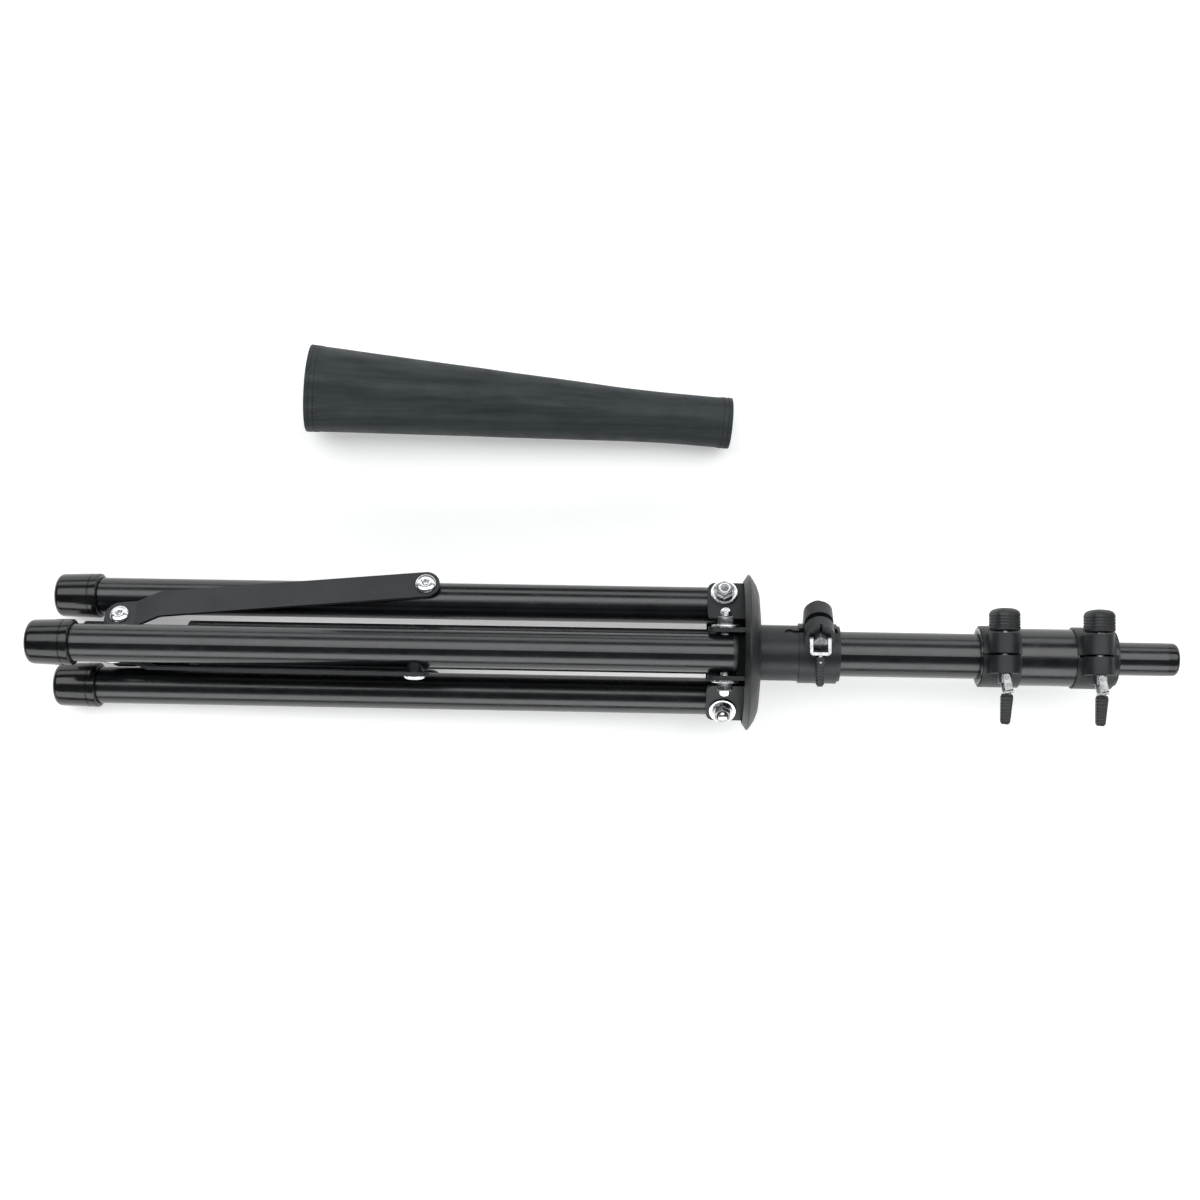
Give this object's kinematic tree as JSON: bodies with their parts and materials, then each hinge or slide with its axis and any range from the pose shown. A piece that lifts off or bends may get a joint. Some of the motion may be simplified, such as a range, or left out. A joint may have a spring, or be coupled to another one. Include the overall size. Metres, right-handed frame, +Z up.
{
  "type": "music stand",
  "caption": "Folded black tripod stand with a telescoping mast, lever clamps, flat braces and capped feet, lying beside its slip-on tapered sleeve.",
  "frame": {"origin": "on the table, under the middle of the bounding box of the folded stand and its sleeve", "axes": "+X along the folded mast from the feet to the top tube as seen from above, +Y from the stand to the sleeve beside it, +Z up"},
  "size_m": [0.7576, 0.2563, 0.1039],
  "materials": {
    "black_coat": "semi-gloss black powder coat",
    "black_cap": "glossy black vinyl",
    "black_plastic": "moulded black nylon",
    "bright_steel": "bright zinc plate",
    "sleeve_skin": "matte dark slate rubberised skin"
  },
  "bodies": {
    "mast": {"mast_tube": "black_coat", "mast_collar": "black_coat", "collar_rivets": "bright_steel"},
    "hub": {"hub_disc": "black_coat", "hub_neck": "black_coat", "neck_liner": "black_plastic", "leg_bracket_1": "black_coat", "leg_bracket_2": "black_coat", "leg_bracket_3": "black_coat", "leg_bolts": "bright_steel", "leg_washers": "bright_steel", "leg_nuts": "bright_steel", "bracket_rivets": "bright_steel", "clamp_band_1": "black_plastic", "clamp_cap_1": "black_plastic"},
    "coupling": {"coupling_sleeve": "black_coat", "coupling_liner": "black_plastic", "reducer_bush": "black_plastic", "clamp_band_2": "black_plastic", "clamp_band_3": "black_plastic", "clamp_cap_2": "black_plastic", "clamp_cap_3": "black_plastic"},
    "top": {"top_tube": "black_coat", "top_cap": "black_cap", "top_tube_guide": "black_plastic"},
    "sleeve": {"tapered_sleeve": "sleeve_skin"},
    "leg_1": {"leg_tube_1": "black_coat", "foot_cap_1": "black_cap", "leg_plug_1": "black_plastic", "brace_rivet_1": "bright_steel", "rivet_spacer_1": "black_coat"},
    "brace_1": {"brace_1": "black_coat"},
    "screw_1": {"clamp_bolt_1": "bright_steel", "lever_pin_1": "bright_steel"},
    "lever_1": {"lever_fork_1": "bright_steel", "lever_handle_1": "black_plastic"},
    "leg_2": {"leg_tube_2": "black_coat", "foot_cap_2": "black_cap", "leg_plug_2": "black_plastic", "brace_rivet_2": "bright_steel", "rivet_spacer_2": "black_coat"},
    "brace_2": {"brace_2": "black_coat"},
    "screw_2": {"clamp_bolt_2": "bright_steel", "lever_pin_2": "bright_steel"},
    "lever_2": {"lever_fork_2": "bright_steel", "lever_handle_2": "black_plastic"},
    "leg_3": {"leg_tube_3": "black_coat", "foot_cap_3": "black_cap", "leg_plug_3": "black_plastic", "brace_rivet_3": "bright_steel", "rivet_spacer_3": "black_coat"},
    "brace_3": {"brace_3": "black_coat"},
    "screw_3": {"clamp_bolt_3": "bright_steel", "lever_pin_3": "bright_steel"},
    "lever_3": {"lever_fork_3": "bright_steel", "lever_handle_3": "black_plastic"}
  },
  "joints": [
    {"name": "brace_fold_1", "type": "hinge", "parent": "mast", "child": "brace_1", "pos_m": [-0.32903, -0.08677, 0.04868], "axis": [0, -1, 0], "range_deg": [0, 36]},
    {"name": "leg_fold_1", "type": "hinge", "parent": "brace_1", "child": "leg_1", "pos_m": [-0.12322, -0.09257, 0.08158], "axis": [0, -1, 0], "range_deg": [-72, 0]},
    {"name": "hub_fold", "type": "hinge", "parent": "leg_1", "child": "hub", "pos_m": [0.07824, -0.07617, 0.08678], "axis": [0, -1, 0], "range_deg": [0, 36]},
    {"name": "brace_fold_2", "type": "hinge", "parent": "mast", "child": "brace_2", "pos_m": [-0.32851, -0.0584, 0.03627], "axis": [-0.0361, 0.5, 0.8653], "range_deg": [0, 36]},
    {"name": "leg_fold_2", "type": "hinge", "parent": "brace_2", "child": "leg_2", "pos_m": [-0.1214, -0.03446, 0.03777], "axis": [-0.0361, 0.5, 0.8653], "range_deg": [-72, 0]},
    {"name": "brace_fold_3", "type": "hinge", "parent": "mast", "child": "brace_3", "pos_m": [-0.32775, -0.08334, 0.01792], "axis": [0.0361, 0.5, -0.8653], "range_deg": [0, 36]},
    {"name": "leg_fold_3", "type": "hinge", "parent": "brace_3", "child": "leg_3", "pos_m": [-0.12021, -0.10149, 0.00939], "axis": [0.0361, 0.5, -0.8653], "range_deg": [-72, 0]},
    {"name": "coupling_slide", "type": "slide", "parent": "mast", "child": "coupling", "axis": [0.9991, 0, 0.0417], "range_m": [0, 0.03]},
    {"name": "top_slide", "type": "slide", "parent": "coupling", "child": "top", "axis": [0.9991, 0, 0.0417], "range_m": [0, 0.33]},
    {"name": "clamp_turn_1", "type": "hinge", "parent": "hub", "child": "screw_1", "pos_m": [0.14102, -0.05713, 0.0693], "axis": [-0.0324, -0.6293, 0.7765], "range_deg": [-90, 90]},
    {"name": "lever_fold_1", "type": "hinge", "parent": "screw_1", "child": "lever_1", "pos_m": [0.14053, -0.06663, 0.08102], "axis": [-0.9991, 0, -0.0417], "range_deg": [0, 80]},
    {"name": "clamp_turn_2", "type": "hinge", "parent": "coupling", "child": "screw_2", "pos_m": [0.26004, -0.07404, 0.08326], "axis": [-0.0036, -0.9962, 0.0871], "range_deg": [-90, 90]},
    {"name": "lever_fold_2", "type": "hinge", "parent": "screw_2", "child": "lever_2", "pos_m": [0.25999, -0.08908, 0.08457], "axis": [-0.0415, 0.0872, 0.9953], "range_deg": [-60, 40]},
    {"name": "clamp_turn_3", "type": "hinge", "parent": "coupling", "child": "screw_3", "pos_m": [0.32099, -0.07404, 0.0858], "axis": [-0.0036, -0.9962, 0.0871], "range_deg": [-90, 90]},
    {"name": "lever_fold_3", "type": "hinge", "parent": "screw_3", "child": "lever_3", "pos_m": [0.32093, -0.08908, 0.08711], "axis": [-0.0415, 0.0872, 0.9953], "range_deg": [-60, 40]},
    {"name": "sleeve_lift", "type": "slide", "parent": "mast", "child": "sleeve", "axis": [0, 0, 1], "range_m": [0, 0.25]}
  ],
  "couplings": [
    {"joint": "leg_fold_1", "follows": "brace_fold_1", "ratio": -2},
    {"joint": "hub_fold", "follows": "brace_fold_1", "ratio": 1},
    {"joint": "brace_fold_2", "follows": "brace_fold_1", "ratio": 1},
    {"joint": "leg_fold_2", "follows": "brace_fold_1", "ratio": -2},
    {"joint": "brace_fold_3", "follows": "brace_fold_1", "ratio": 1},
    {"joint": "leg_fold_3", "follows": "brace_fold_1", "ratio": -2}
  ]
}
